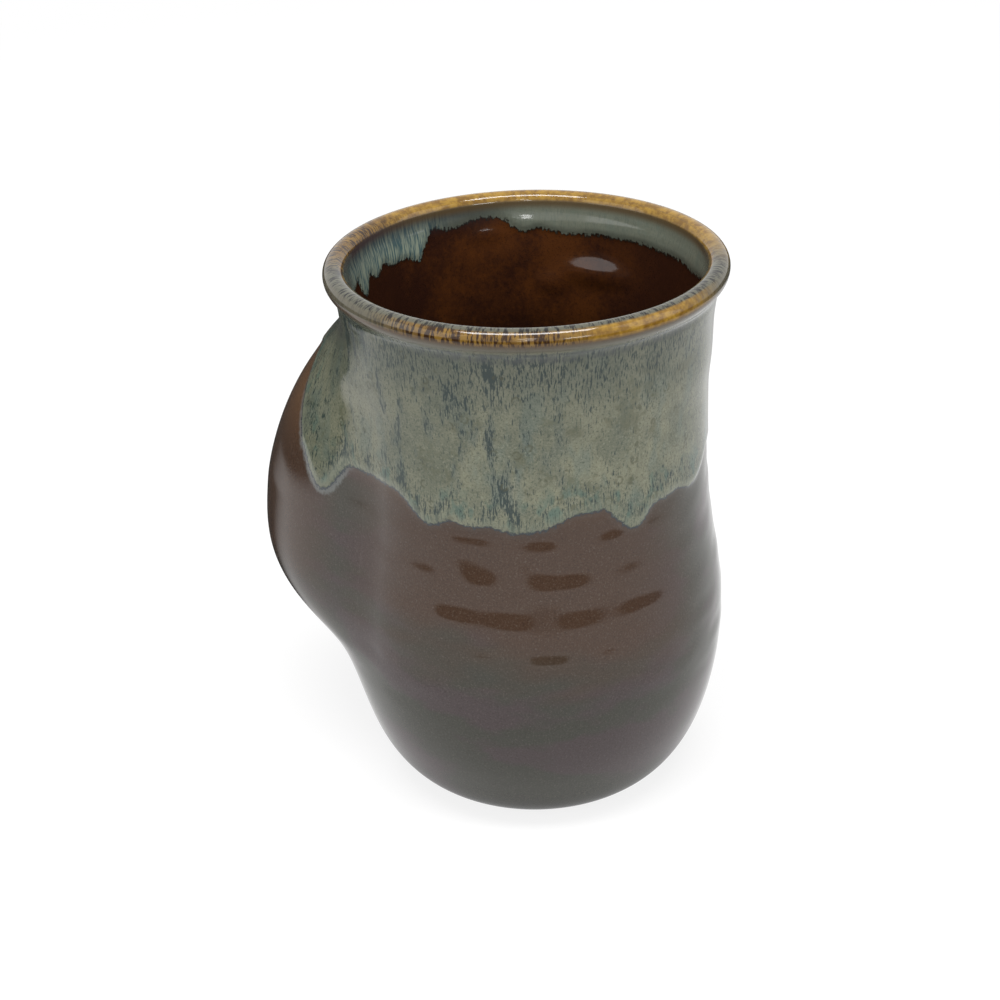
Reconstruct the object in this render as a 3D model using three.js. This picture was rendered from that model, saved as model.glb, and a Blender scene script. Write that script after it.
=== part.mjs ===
// A stoneware hand-warmer mug: a thrown cup with a rolled rim, a pocket of clay joined to its side
// for the fingers of one hand, and the glaze coats that line the cup and run down over its neck.
// Millimetres, +Z up. The origin is the middle of the foot, on the table.
// The pocket stands out along -X and opens towards +Y.

import * as THREE from 'three';
import { mergeVertices } from 'three/addons/utils/BufferGeometryUtils.js';

// Outside of the thrown cup: its belly, and how far the foot, the neck and the collar draw in from it
const BELLY_RADIUS = 44.5;
const FOOT_DRAW = 14;
const NECK_DRAW = 4.6;
const COLLAR_DRAW = 1.8;
const BELLY_HEIGHT = 40;
const NECK_RISE = 57;
const COLLAR_RISE = 25.4;

// How full the outline is between those rings, as shares of the rise from one to the next
const FOOT_SPREAD = 0.79;
const FOOT_LIFT = 0.17;
const BELLY_FULLNESS_BELOW = 0.27;
const BELLY_FULLNESS_ABOVE = 0.32;
const NECK_LENGTH_BELOW = 0.67;
const NECK_LENGTH_ABOVE = 0.2;
const COLLAR_LEAN = 0.3;
const COLLAR_LENGTH = 0.35;

// Walls, floor and foot of the cup
const BODY_WALL = 4.6;
const COLLAR_WALL = 3;
const FOOT_DEPTH = 2.5;
const FLOOR_THICKNESS = 4.5;
const FLOOR_CORNER = 12;

// Rolled rim
const RIM_WIDTH = 4.8;
const RIM_HEIGHT = 4.6;

// Hand pocket
const HAND_SPACE = 23;
const POCKET_WALL = 4.6;
const POCKET_FOOT_HEIGHT = 13;
const POCKET_CROWN_RISE = 51.8;
const POCKET_BELOW_RIM = 11.4;
const POCKET_SEAM_ANGLE = 66;
const POCKET_SEAM_EDGE = 0.8;
const POCKET_CORNER = 3;
const LIP_ANGLE = 30;
const LIP_SCOOP = 9;
const LIP_END_DEPTH = 14;
const LIP_END_ANGLE = 30;

// How full the pocket is, as shares of its rise and of its depth
const POCKET_SWELL_BELOW = 0.64;
const CROWN_FULLNESS_BELOW = 0.74;
const CROWN_FULLNESS_ABOVE = 0.15;
const SHOULDER_SPREAD = 0.84;
const SHOULDER_DROP = 0.39;

// Glaze coats
const GLAZE_COAT = 0.6;
const DIP_DEPTH = 43;
const DIP_TOP_GAP = 1;
const INNER_DIP_DEPTH = 0.9;
const DIP_CLIMB_ANGLE = 214;
const DIP_CLIMB = 1;
const DIP_CLIMB_MOST = 23;
const DIP_BEHIND_LIP = 124;
const DIP_OVER_LIP = 138;

// Where the dipped glaze has run: the middle of each run and its half width in degrees,
// and its reach as a share of one length
const RUN_LENGTH = 10;
const OUTER_RUNS = [
  { at: 221, halfWidth: 11, reach: 0.86 },
  { at: 267, halfWidth: 15, reach: 0.52 },
  { at: 281, halfWidth: 18, reach: 0.41 },
  { at: 297, halfWidth: 24, reach: 0.49 },
  { at: 316, halfWidth: 16, reach: 0.12 },
  { at: 333, halfWidth: 14, reach: 0.72 },
  { at: 345, halfWidth: 22, reach: 0.32 },
  { at: 361, halfWidth: 19, reach: 0.46 },
  { at: 398, halfWidth: 17, reach: 0.6 },
  { at: 431, halfWidth: 20, reach: 0.42 },
  { at: 462, halfWidth: 15, reach: 0.7 },
];
const INNER_RUNS = [
  { at: 22, halfWidth: 26, reach: 0.42 },
  { at: 46, halfWidth: 24, reach: 0.42 },
  { at: 66, halfWidth: 24, reach: 0.4 },
  { at: 86, halfWidth: 22, reach: 0.4 },
  { at: 104, halfWidth: 20, reach: 0.43 },
  { at: 120, halfWidth: 10.5, reach: 0.37 },
  { at: 146, halfWidth: 10, reach: 0.12 },
  { at: 161, halfWidth: 9, reach: 0.69 },
  { at: 172, halfWidth: 12, reach: 0.56 },
  { at: 191, halfWidth: 9, reach: 0.86 },
  { at: 205, halfWidth: 24, reach: 0.5 },
  { at: 240, halfWidth: 34, reach: 0.44 },
  { at: 275, halfWidth: 30, reach: 0.48 },
  { at: 310, halfWidth: 34, reach: 0.46 },
  { at: 350, halfWidth: 34, reach: 0.46 },
];
const RUN_BLEND = 5;

// Clearances between pieces that touch, the wider one where the coat follows the pocket's curves
const SEAM_GAP = 0.3;
const DIP_COAT_GAP = 0.5;

// Facets
const TURN_STEPS = 48;
const OUTLINE_STEPS = 6;
const WALL_STEPS = 10;
const CORNER_STEPS = 4;
const RIM_STEPS = 3;
const POCKET_COLUMNS = 22;
const POCKET_ROWS = 30;
const SEAM_STEPS = 24;
const DIP_COLUMNS = 104;
const DIP_ROWS = 6;
const LIP_NOSE = [0, 0.1, 0.4, 1];
const CURVE_SAMPLES = 100;
const HALVINGS = 40;
const SAME_POINT = 1e-4;

const FOOT_RADIUS = BELLY_RADIUS - FOOT_DRAW;
const NECK_RADIUS = BELLY_RADIUS - NECK_DRAW;
const COLLAR_RADIUS = BELLY_RADIUS - COLLAR_DRAW;
const NECK_HEIGHT = BELLY_HEIGHT + NECK_RISE;
const RIM_SEAT = NECK_HEIGHT + COLLAR_RISE;
const RIM_TOP = RIM_SEAT + RIM_HEIGHT;
const FLOOR_HEIGHT = FOOT_DEPTH + FLOOR_THICKNESS;
const CORNER_HEIGHT = FLOOR_HEIGHT + FLOOR_CORNER;
const POCKET_DEPTH = HAND_SPACE + POCKET_WALL;
const POCKET_CROWN = POCKET_FOOT_HEIGHT + POCKET_CROWN_RISE;
const POCKET_TOP = RIM_SEAT - POCKET_BELOW_RIM;
const POCKET_MIDDLE_ANGLE = 180;

const { clamp, degToRad, lerp, radToDeg, smoothstep } = THREE.MathUtils;

// Profiles, drawn as radius across and height up

function bezier(start, startHandle, endHandle, end) {
  const points = [start, startHandle, endHandle, end].map(([across, up]) => new THREE.Vector2(across, up));
  return new THREE.CubicBezierCurve(...points);
}

function cupOutline() {
  const footSpread = FOOT_SPREAD * (BELLY_RADIUS - FOOT_RADIUS);
  const outline = new THREE.CurvePath();
  outline.add(bezier(
    [FOOT_RADIUS, 0],
    [FOOT_RADIUS + footSpread, FOOT_LIFT * BELLY_HEIGHT],
    [BELLY_RADIUS, BELLY_HEIGHT * (1 - BELLY_FULLNESS_BELOW)],
    [BELLY_RADIUS, BELLY_HEIGHT],
  ));
  outline.add(bezier(
    [BELLY_RADIUS, BELLY_HEIGHT],
    [BELLY_RADIUS, BELLY_HEIGHT + BELLY_FULLNESS_ABOVE * NECK_RISE],
    [NECK_RADIUS, NECK_HEIGHT - NECK_LENGTH_BELOW * NECK_RISE],
    [NECK_RADIUS, NECK_HEIGHT],
  ));
  outline.add(bezier(
    [NECK_RADIUS, NECK_HEIGHT],
    [NECK_RADIUS, NECK_HEIGHT + NECK_LENGTH_ABOVE * COLLAR_RISE],
    [lerp(COLLAR_RADIUS, NECK_RADIUS, COLLAR_LEAN), RIM_SEAT - COLLAR_LENGTH * COLLAR_RISE],
    [COLLAR_RADIUS, RIM_SEAT],
  ));
  return outline;
}

// Distance across a profile at a height, read between closely spaced points of its curves
function acrossAtHeight(profile) {
  const fine = profile.getPoints(CURVE_SAMPLES);
  return (height) => {
    const next = fine.findIndex((point) => point.y >= height);
    if (next <= 0) return next === 0 ? fine[0].x : fine.at(-1).x;
    const below = fine[next - 1];
    const above = fine[next];
    return lerp(below.x, above.x, (height - below.y) / (above.y - below.y));
  };
}

const outerRadius = acrossAtHeight(cupOutline());

function wallAt(height) {
  const share = clamp((height - BELLY_HEIGHT) / (RIM_SEAT - BELLY_HEIGHT), 0, 1);
  return lerp(BODY_WALL, COLLAR_WALL, share);
}

const innerRadius = (height) => outerRadius(height) - wallAt(height);

// Inside of the cup from the middle of the floor to a height on the wall, moved in by a coat
function insideProfile(top, inset) {
  const cornerCentre = innerRadius(CORNER_HEIGHT) - FLOOR_CORNER;
  const points = [new THREE.Vector2(0, FLOOR_HEIGHT + inset)];
  for (let step = 0; step < CORNER_STEPS; step += 1) {
    const angle = (Math.PI / 2) * (step / CORNER_STEPS);
    const across = cornerCentre + (FLOOR_CORNER - inset) * Math.sin(angle);
    points.push(new THREE.Vector2(across, CORNER_HEIGHT - (FLOOR_CORNER - inset) * Math.cos(angle)));
  }
  for (let step = 0; step <= WALL_STEPS; step += 1) {
    const height = lerp(CORNER_HEIGHT, top, step / WALL_STEPS);
    points.push(new THREE.Vector2(innerRadius(height) - inset, height));
  }
  return points;
}

// Solids

// A closed body with shared corners, no empty triangles and its faces pointing out
function closedBody(geometry) {
  geometry.deleteAttribute('normal');
  geometry.deleteAttribute('uv');
  const merged = mergeVertices(geometry, SAME_POINT);
  const place = merged.getAttribute('position');
  const corner = (index) => new THREE.Vector3().fromBufferAttribute(place, index);
  const triangles = [];
  let volume = 0;
  for (let at = 0; at < merged.index.count; at += 3) {
    const triangle = [0, 1, 2].map((side) => merged.index.getX(at + side));
    if (new Set(triangle).size < 3) continue;
    const [first, second, third] = triangle.map(corner);
    volume += first.dot(second.cross(third));
    triangles.push(triangle);
  }
  if (volume < 0) triangles.forEach((triangle) => triangle.reverse());
  merged.setIndex(triangles.flat());
  merged.computeVertexNormals();
  return merged;
}

function revolve(points) {
  const geometry = new THREE.LatheGeometry(points, TURN_STEPS);
  geometry.rotateX(Math.PI / 2);
  return closedBody(geometry);
}

function polarPoint(angle, across, height) {
  const turn = degToRad(angle);
  return [across * Math.cos(turn), across * Math.sin(turn), height];
}

// A body between an outer and an inner sheet of points, which may close round on itself
function sheetBody(columns, rows, outerPoint, innerPoint, closesRound) {
  const perRow = columns + 1;
  const perSheet = perRow * (rows + 1);
  const positions = [];
  for (const pointAt of [outerPoint, innerPoint]) {
    for (let row = 0; row <= rows; row += 1) {
      for (let column = 0; column <= columns; column += 1) positions.push(...pointAt(column, row));
    }
  }
  const triangles = [];
  const addQuad = (a, b, c, d) => triangles.push(a, b, c, a, c, d);
  const outer = (column, row) => row * perRow + column;
  const inner = (column, row) => perSheet + outer(column, row);
  for (let row = 0; row < rows; row += 1) {
    for (let column = 0; column < columns; column += 1) {
      const corners = [[column, row], [column + 1, row], [column + 1, row + 1], [column, row + 1]];
      addQuad(...corners.map((corner) => outer(...corner)));
      addQuad(...corners.map((corner) => inner(...corner)).reverse());
    }
    if (closesRound) continue;
    addQuad(outer(0, row + 1), inner(0, row + 1), inner(0, row), outer(0, row));
    addQuad(outer(columns, row), inner(columns, row), inner(columns, row + 1), outer(columns, row + 1));
  }
  for (let column = 0; column < columns; column += 1) {
    addQuad(outer(column, 0), inner(column, 0), inner(column + 1, 0), outer(column + 1, 0));
    addQuad(outer(column + 1, rows), inner(column + 1, rows), inner(column, rows), outer(column, rows));
  }
  const geometry = new THREE.BufferGeometry();
  geometry.setAttribute('position', new THREE.Float32BufferAttribute(positions, 3));
  geometry.setIndex(triangles);
  return closedBody(geometry);
}

// Thrown cup: bare foot, walls with their floor, and the rolled rim

function outlinePoints(bottom, top) {
  const heights = cupOutline().getPoints(OUTLINE_STEPS).map((point) => point.y);
  const between = heights.filter((height) => height > bottom && height < top);
  return [bottom, ...between, top].map((height) => new THREE.Vector2(outerRadius(height), height));
}

function foot() {
  const underside = [new THREE.Vector2(0, 0), new THREE.Vector2(FOOT_RADIUS, 0)];
  const upperFace = [new THREE.Vector2(outerRadius(FOOT_DEPTH), FOOT_DEPTH), new THREE.Vector2(0, FOOT_DEPTH)];
  return revolve([...underside, ...upperFace]);
}

function cupBody() {
  const outside = outlinePoints(FOOT_DEPTH, RIM_SEAT);
  const inside = insideProfile(RIM_SEAT, 0).reverse();
  return revolve([new THREE.Vector2(0, FOOT_DEPTH), ...outside, ...inside]);
}

function rimRoll() {
  const inside = COLLAR_RADIUS - COLLAR_WALL;
  const outside = inside + RIM_WIDTH;
  const overhang = RIM_WIDTH - COLLAR_WALL;
  const middle = RIM_SEAT + RIM_HEIGHT / 2;
  const section = new THREE.Path();
  section.moveTo(inside, RIM_SEAT);
  section.lineTo(inside, middle);
  section.absellipse(inside + RIM_WIDTH / 2, middle, RIM_WIDTH / 2, RIM_HEIGHT / 2, Math.PI, 0, true);
  section.absellipse(outside - overhang, middle, overhang, RIM_HEIGHT / 2, 0, -Math.PI / 2, true);
  section.closePath();
  return revolve(section.getPoints(RIM_STEPS));
}

// Hand pocket: a shell that swells from the cup's side and feathers into it at the front

function pocketProfile() {
  const aboveCrown = POCKET_TOP - POCKET_CROWN;
  const profile = new THREE.CurvePath();
  profile.add(bezier(
    [0, POCKET_FOOT_HEIGHT],
    [0, POCKET_FOOT_HEIGHT + POCKET_SWELL_BELOW * POCKET_CROWN_RISE],
    [POCKET_DEPTH, POCKET_CROWN - CROWN_FULLNESS_BELOW * POCKET_CROWN_RISE],
    [POCKET_DEPTH, POCKET_CROWN],
  ));
  profile.add(bezier(
    [POCKET_DEPTH, POCKET_CROWN],
    [POCKET_DEPTH, POCKET_CROWN + CROWN_FULLNESS_ABOVE * aboveCrown],
    [SHOULDER_SPREAD * POCKET_DEPTH, POCKET_TOP - SHOULDER_DROP * aboveCrown],
    [0, POCKET_TOP],
  ));
  return profile;
}

const pocketDepth = acrossAtHeight(pocketProfile());

// How much of its depth the pocket still has at an angle from its middle towards the front seam
function frontShare(angle) {
  return 0.5 * (1 + Math.cos(Math.PI * clamp(angle / POCKET_SEAM_ANGLE, 0, 1)));
}

// How much of it is left towards the lip, which sinks back to the cup where the pocket gets shallow
function lipShare(angle, height) {
  const lipEnd = -LIP_ANGLE - LIP_SCOOP;
  const kept = smoothstep(pocketDepth(height), POCKET_WALL, LIP_END_DEPTH);
  return lerp(smoothstep(angle, lipEnd, lipEnd + LIP_END_ANGLE), 1, kept);
}

// How far the outside stands off the round cup
function bulge(angle, height) {
  const front = pocketDepth(height) * frontShare(angle);
  return Math.max(Math.min(front, POCKET_SEAM_EDGE), front * lipShare(angle, height));
}

// How far the pocket's inside stands off the cup: rounded where it closes, one wall in elsewhere
function hollow(angle, height) {
  const room = bulge(angle, height) - POCKET_WALL;
  if (room <= 0) return SEAM_GAP;
  const rounding = Math.sqrt(2 * POCKET_CORNER * room) * Math.exp(-room / POCKET_CORNER);
  return Math.max(SEAM_GAP, room + rounding);
}

// Height where the shell has thinned to its edge at an angle, between its crown and one of its ends
function edgeHeight(angle, end) {
  let deep = POCKET_CROWN;
  let shallow = end;
  for (let halving = 0; halving < HALVINGS; halving += 1) {
    const tried = (deep + shallow) / 2;
    if (bulge(angle, tried) > POCKET_SEAM_EDGE) deep = tried;
    else shallow = tried;
  }
  return deep;
}

// Height at a share of the way from the shell's lower edge to its upper one
function heightBetweenEdges(angle, share) {
  return lerp(edgeHeight(angle, POCKET_FOOT_HEIGHT), edgeHeight(angle, POCKET_TOP), share);
}

// Evenly spaced points up the front seam, where the shell has thinned to its edge
function frontSeam() {
  const widest = POCKET_SEAM_ANGLE * Math.acos(2 * POCKET_SEAM_EDGE / POCKET_DEPTH - 1) / Math.PI;
  const lower = [];
  const upper = [];
  for (let step = 0; step <= SEAM_STEPS; step += 1) {
    const angle = widest * Math.sin((Math.PI / 2) * (step / SEAM_STEPS));
    const along = degToRad(angle) * BELLY_RADIUS;
    lower.push(new THREE.Vector2(along, edgeHeight(angle, POCKET_FOOT_HEIGHT)));
    upper.unshift(new THREE.Vector2(along, edgeHeight(angle, POCKET_TOP)));
  }
  const seam = new THREE.SplineCurve([...lower, ...upper.slice(1)]).getSpacedPoints(POCKET_ROWS);
  return seam.map((point) => ({ angle: radToDeg(point.x / BELLY_RADIUS), height: point.y }));
}

// Back lip: a rounded edge, scooped back in the middle
function backLip(row) {
  const share = row / POCKET_ROWS;
  const angle = -(LIP_ANGLE + LIP_SCOOP * (2 * share - 1) ** 2);
  const height = heightBetweenEdges(angle, share);
  const nose = (bulge(angle, height) - hollow(angle, height)) / 2;
  return { share, angle, noseAngle: radToDeg(nose / (outerRadius(height) + bulge(angle, height))) };
}

function handPocket() {
  const seam = frontSeam();
  const lowest = seam[0].height;
  const highest = seam[POCKET_ROWS].height;
  const noseColumns = LIP_NOSE.length - 1;
  const pointOn = (side) => (column, row) => {
    const lip = backLip(row);
    const onNose = LIP_NOSE[column] ?? 1;
    const toSeam = Math.max(0, column - noseColumns) / (POCKET_COLUMNS - noseColumns);
    const angle = lerp(lip.angle + onNose * lip.noseAngle, seam[row].angle, toSeam);
    const seamShare = (seam[row].height - lowest) / (highest - lowest);
    const height = heightBetweenEdges(Math.min(angle, 0), lerp(lip.share, seamShare, toSeam));
    const middle = (bulge(angle, height) + hollow(angle, height)) / 2;
    const half = (bulge(angle, height) - hollow(angle, height)) / 2;
    const rounded = half * Math.sqrt(1 - (1 - onNose) ** 2);
    const across = outerRadius(height) + middle + side * rounded;
    return polarPoint(POCKET_MIDDLE_ANGLE + angle, across, height);
  };
  return sheetBody(POCKET_COLUMNS, POCKET_ROWS, pointOn(1), pointOn(-1), false);
}

// Glaze coats

// Reach of the runs at an angle, each a smooth tongue that blends into its neighbours
function runDrop(runs, angle) {
  const powers = runs.map((run) => {
    const away = THREE.MathUtils.euclideanModulo(angle - run.at + 180, 360) - 180;
    const share = clamp(away / run.halfWidth, -1, 1);
    return (run.reach * 0.5 * (1 + Math.cos(Math.PI * share))) ** RUN_BLEND;
  });
  return RUN_LENGTH * powers.reduce((sum, power) => sum + power, 0) ** (1 / RUN_BLEND);
}

// The dip's lower line, which climbs over the top of the pocket and drops again behind its lip
function outerGlazeLine(angle) {
  const climb = clamp((DIP_CLIMB_ANGLE - angle) * DIP_CLIMB, 0, DIP_CLIMB_MOST);
  const overLip = smoothstep(angle, DIP_BEHIND_LIP, DIP_OVER_LIP);
  return RIM_TOP - DIP_DEPTH - runDrop(OUTER_RUNS, angle) + climb * overLip;
}

const innerGlazeLine = (angle) => RIM_SEAT - INNER_DIP_DEPTH - runDrop(INNER_RUNS, angle);

function linerGlaze() {
  const pointOn = (inset) => (column, row) => {
    const angle = 360 * column / TURN_STEPS;
    const profile = insideProfile(innerGlazeLine(angle) - SEAM_GAP, inset);
    return polarPoint(angle, profile[row].x, profile[row].y);
  };
  const rows = CORNER_STEPS + WALL_STEPS + 1;
  return sheetBody(TURN_STEPS, rows, pointOn(SEAM_GAP), pointOn(SEAM_GAP + GLAZE_COAT), true);
}

function innerDipGlaze() {
  const pointOn = (inset) => (column, row) => {
    const angle = 360 * column / TURN_STEPS;
    const height = row === 0 ? innerGlazeLine(angle) : RIM_SEAT;
    return polarPoint(angle, innerRadius(height) - inset, height);
  };
  return sheetBody(TURN_STEPS, 1, pointOn(SEAM_GAP), pointOn(SEAM_GAP + GLAZE_COAT), true);
}

function dipGlaze() {
  const pointOn = (lift) => (column, row) => {
    const angle = DIP_BEHIND_LIP + 360 * column / DIP_COLUMNS;
    const height = lerp(outerGlazeLine(angle), RIM_SEAT - DIP_TOP_GAP, row / DIP_ROWS);
    const fromMiddle = angle - POCKET_MIDDLE_ANGLE;
    const onPocket = smoothstep(fromMiddle, -LIP_ANGLE - LIP_SCOOP - POCKET_CORNER, -LIP_ANGLE - LIP_SCOOP);
    const stand = bulge(fromMiddle, height) * onPocket;
    return polarPoint(angle, outerRadius(height) + stand + lift, height);
  };
  return sheetBody(DIP_COLUMNS, DIP_ROWS, pointOn(DIP_COAT_GAP + GLAZE_COAT), pointOn(DIP_COAT_GAP), true);
}

// Assembly

const mug = new THREE.Group();
mug.name = 'hand_warmer_mug';

function addPiece(name, geometry, color, roughness) {
  const material = new THREE.MeshStandardMaterial({ color, roughness, metalness: 0 });
  const piece = new THREE.Mesh(geometry, material);
  piece.name = name;
  mug.add(piece);
}

addPiece('foot', foot(), 0xb59a7c, 0.85);
addPiece('cup_body', cupBody(), 0x584b46, 0.35);
addPiece('rim_roll', rimRoll(), 0x8a6428, 0.2);
addPiece('hand_pocket', handPocket(), 0x5a4a43, 0.35);
addPiece('liner_glaze', linerGlaze(), 0x4a2110, 0.12);
addPiece('inner_dip_glaze', innerDipGlaze(), 0x7d8a7a, 0.15);
addPiece('dip_glaze', dipGlaze(), 0x6e7a68, 0.2);

export default mug;
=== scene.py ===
"""Looks of a stoneware hand-warmer mug: a thrown cup, its hand pocket and the glazes on them."""

import math

import bmesh
import bpy
import numpy as np
from mathutils import Matrix, Vector


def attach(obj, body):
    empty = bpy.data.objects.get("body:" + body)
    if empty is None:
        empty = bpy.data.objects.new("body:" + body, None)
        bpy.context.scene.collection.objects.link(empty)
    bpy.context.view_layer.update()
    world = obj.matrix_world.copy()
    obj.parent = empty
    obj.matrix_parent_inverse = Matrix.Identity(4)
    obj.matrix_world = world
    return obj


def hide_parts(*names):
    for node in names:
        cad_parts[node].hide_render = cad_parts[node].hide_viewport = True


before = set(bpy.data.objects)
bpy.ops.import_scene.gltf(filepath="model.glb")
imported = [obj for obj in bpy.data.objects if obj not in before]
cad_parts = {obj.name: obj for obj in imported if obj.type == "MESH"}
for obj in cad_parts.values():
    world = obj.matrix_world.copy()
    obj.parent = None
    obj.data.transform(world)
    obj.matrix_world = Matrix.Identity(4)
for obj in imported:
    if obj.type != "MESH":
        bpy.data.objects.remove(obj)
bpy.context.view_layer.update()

# Shapes are worked out in millimetres and become metres when a mesh is made
MM = 0.001

# Outside of the cup
FOOT_RADIUS = 30.5
BELLY_RADIUS = 44.5
BELLY_HEIGHT = 40.0
NECK_RADIUS = 39.9
NECK_HEIGHT = 97.0
COLLAR_RADIUS = 42.7
RIM_SEAT = 122.4
RIM_TOP = 127.0

# Walls, floor and rim
BODY_WALL = 4.6
COLLAR_WALL = 3.0
GLAZE_BOTTOM = 0.9
FLOOR_HEIGHT = 7.0
FLOOR_CORNER = 12.0
RIM_WIDTH = 4.8
RIM_BLEND = 5.0
# How far the curve under the roll follows the neck's lean, and the roll's upright side
NECK_HANDLE = 4.4
ROLL_HANDLE = 2.8
# Undercut below the roll: its depth, and the heights where it starts and is full
UNDERCUT = 0.9
UNDERCUT_START = 103.0
UNDERCUT_FULL = 116.0

# Bare foot: its rounded edge, and how far it stands behind the glaze and reaches up inside it
FOOT_EDGE_WIDTH = 0.6
FOOT_EDGE_HEIGHT = 0.25
FOOT_EDGE_INSET = 0.1
FOOT_SETBACK = 0.35
FOOT_OVERLAP = 0.4
GLAZE_CORNER = 0.2

# Hand pocket
HAND_SPACE = 23.0
POCKET_WALL = 4.6
POCKET_BOTTOM = 13.0
POCKET_CROWN = 64.8
POCKET_TOP = 111.0
POCKET_MIDDLE = 180.0
POCKET_SEAM_ANGLE = 66.0
POCKET_CORNER = 3.0
POCKET_FILLET = 2.6
LIP_ANGLE = 30.0
LIP_SCOOP = 9.0
LIP_MIDDLE = 69.9
LIP_HALF = 36.9
LIP_END_DEPTH = 14.0
LIP_END_ANGLE = 30.0
SEAM_BLEND = 1.5
SEAM_SINK = 0.6
# Share of the seam's angle that the shell covers, and how many blends it takes the cup's swell to fade
SEAM_REACH = 0.985
SEAM_FADE = 2.6
# Degrees before and after the lip between which that swell starts
LIP_FADE_BEFORE = 4.0
LIP_FADE_AFTER = 8.0
# Thinnest shell, thinnest lip, and how far the finger space sinks into the cup's wall
SHELL_LEAST = 0.4
LIP_LEAST = 0.2
HOLLOW_SINK = 1.5

# Marks of the thrower's fingers, in rings round the wall that are deepest on one side
RING_PITCH = 9.0
RING_DEPTH = 0.145
RING_LENSES = 17
RING_SIDE = 298.0
# Height where the rings are shallowest, and how far from it they are deep
RING_SHALLOWEST = 63.0
RING_DEEPER_OVER = 14.0
# Heights between which the rings start and end, and how far out on the pocket they fade
RING_START = (26.0, 42.0)
RING_END = (74.0, 86.0)
RING_POCKET_FADE = (1.0, 6.0)
# Slow unevenness of the wall: its depth, and the heights between which it starts and ends
WOBBLE = 0.07
WOBBLE_START = (4.0, 20.0)
WOBBLE_END = (112.0, 120.0)
WALL_TOP = RIM_SEAT - 1.5
# Swells inside the neck: angle, height, half the width in degrees, half the height, how far it stands in
INNER_SWELLS = (
    (94, 108.6, 20, 4.8, 0.95),
    (110, 105.6, 9, 4.0, 0.5),
    (134, 117.6, 9, 2.6, 0.22),
)
# Hollows pressed into the belly outside, with the same five numbers
BELLY_HOLLOWS = (
    (282, 76.0, 12, 9.5, 0.52),
    (301, 76.5, 11, 9.0, 0.34),
)

# Glaze: depth of the dip below the rim, and where its line climbs on the pocket
DIP_DEPTH = 43.0
DIP_CLIMB_ANGLE = 211.5
DIP_CLIMB = 1.5
DIP_CLIMB_MOST = 22.0
DIP_BEHIND_LIP = 124.0
DIP_OVER_LIP = 138.0
# Thickness of the coat, times how much inside the cup, and over how much it rises at its edge and lip
COAT = 0.45
INNER_COAT = 1.3
COAT_EDGE = 1.3
COAT_ON_LIP = 0.5
# Heights between which the coat thins out under the roll outside, and starts and ends inside
OUTER_COAT_END = (118.0, 121.0)
INNER_COAT_START = (108.0, 112.0)
INNER_COAT_END = (120.0, 124.5)
# Length over the roll that the pocket's heights leave out
ROLL_LENGTH = 2.0
# Distances from the glaze lines at the middle of the underside and of the floor
POLE_DIP = (-80.0, -100.0)
# Middle of each run in degrees, half its width in degrees, and its drop
OUTER_RUNS = (
    (221, 11, 8.6),
    (267, 15, 5.2),
    (281, 18, 4.1),
    (297, 24, 4.9),
    (316, 16, 1.2),
    (333, 14, 7.2),
    (345, 22, 3.2),
    (1, 19, 4.6),
    (38, 17, 6.0),
    (71, 20, 4.2),
    (102, 15, 7.0),
    (140, 22, 5.0),
    (160, 26, 3.6),
    (187, 17, 6.4),
)
RUN_BLEND = 5.0
INNER_DIP = 0.9
INNER_RUNS = (
    (22, 34, 4.2),
    (46, 34, 4.2),
    (66, 34, 4.0),
    (86, 34, 4.0),
    (104, 28, 4.2),
    (120, 10.5, 3.7),
    (146, 10, 1.2),
    (161, 9, 6.9),
    (166, 9, 5.4),
    (172, 12, 5.6),
    (182, 11, 6.2),
    (191, 9, 8.6),
    (205, 24, 5.0),
    (240, 34, 4.4),
    (275, 30, 4.8),
    (310, 34, 4.6),
    (350, 34, 4.6),
)

# Mesh fineness
TURN_STEPS = 276
ROW_STEP = 0.9
RIM_ROW_STEP = 0.35
BOTTOM_ROW_STEP = 3.0
FOOT_FACE_STEP = 2.0
FOOT_TOP_STEP = 4.0
INNER_STEPS = 500
POCKET_COLUMNS = 110
POCKET_ROWS = 110
POCKET_ROW_MARGIN = 4.0
NOSE_STEPS = 10
WELD_DISTANCE = 1e-6

# Camera, light and stage. The camera, the lamps and the table are turned round the cup's axis together
VIEW_AZIMUTH = 30.0
CAMERA_DISTANCE = 450.0
CAMERA_ELEVATION = 27.88
CAMERA_ROLL = -1.93
AIM_HEIGHT = 66.3
AIM_SIDE = -7.4
CAMERA_LENS = 69.56
SENSOR_WIDTH = 36.0
WORLD_LIGHT = 0.4
SHEET_RADIUS = 318.0
TABLE_RADIUS = 2000.0
FLOOR_RADIUS = 4000.0
FLOOR_HOLE = FOOT_RADIUS - 2.5

# Dark table that only reflections see, with reaches in millimetres from the cup's axis.
# Its turns are degrees round the cup, from the camera's side by way of its right.
TABLE_LIFT = 0.3
TABLE_NEAR_RINGS = (31, 34, 38, 42, 46, 60, 75, 85, 95, 107, 120, 232, 242, 252, 262)
SHEET_FADE = (-32, -24, -16)
SHEET_EDGE = (-1, 1)
BEHIND_START = (140, 160)
BEHIND_FULL = (175, 205)
BEHIND_END = (222, 252)
BEHIND_REACH = (95, 120)
SIDE_START = (200, 225)
SIDE_END = (234, 252)
SIDE_REACH = (75, 95)
SIDE_REACH_END = (232, 262)
# Painted contact shadow round the foot, on the table that only reflections see: its darkness, and the
# reaches over which it fades
CONTACT_SHADOW_DARK = 0.5
CONTACT_SHADOW_REACH = (32, 46)
SHEET_FADE_DARK = 0.35


# Profiles

def smooth(low, high, value):
    share = np.clip((value - low) / (high - low), 0, 1)
    return share * share * (3 - 2 * share)


def turned(angle):
    """An angle in degrees between -180 and 180."""
    return (angle + 180.0) % 360.0 - 180.0


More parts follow.
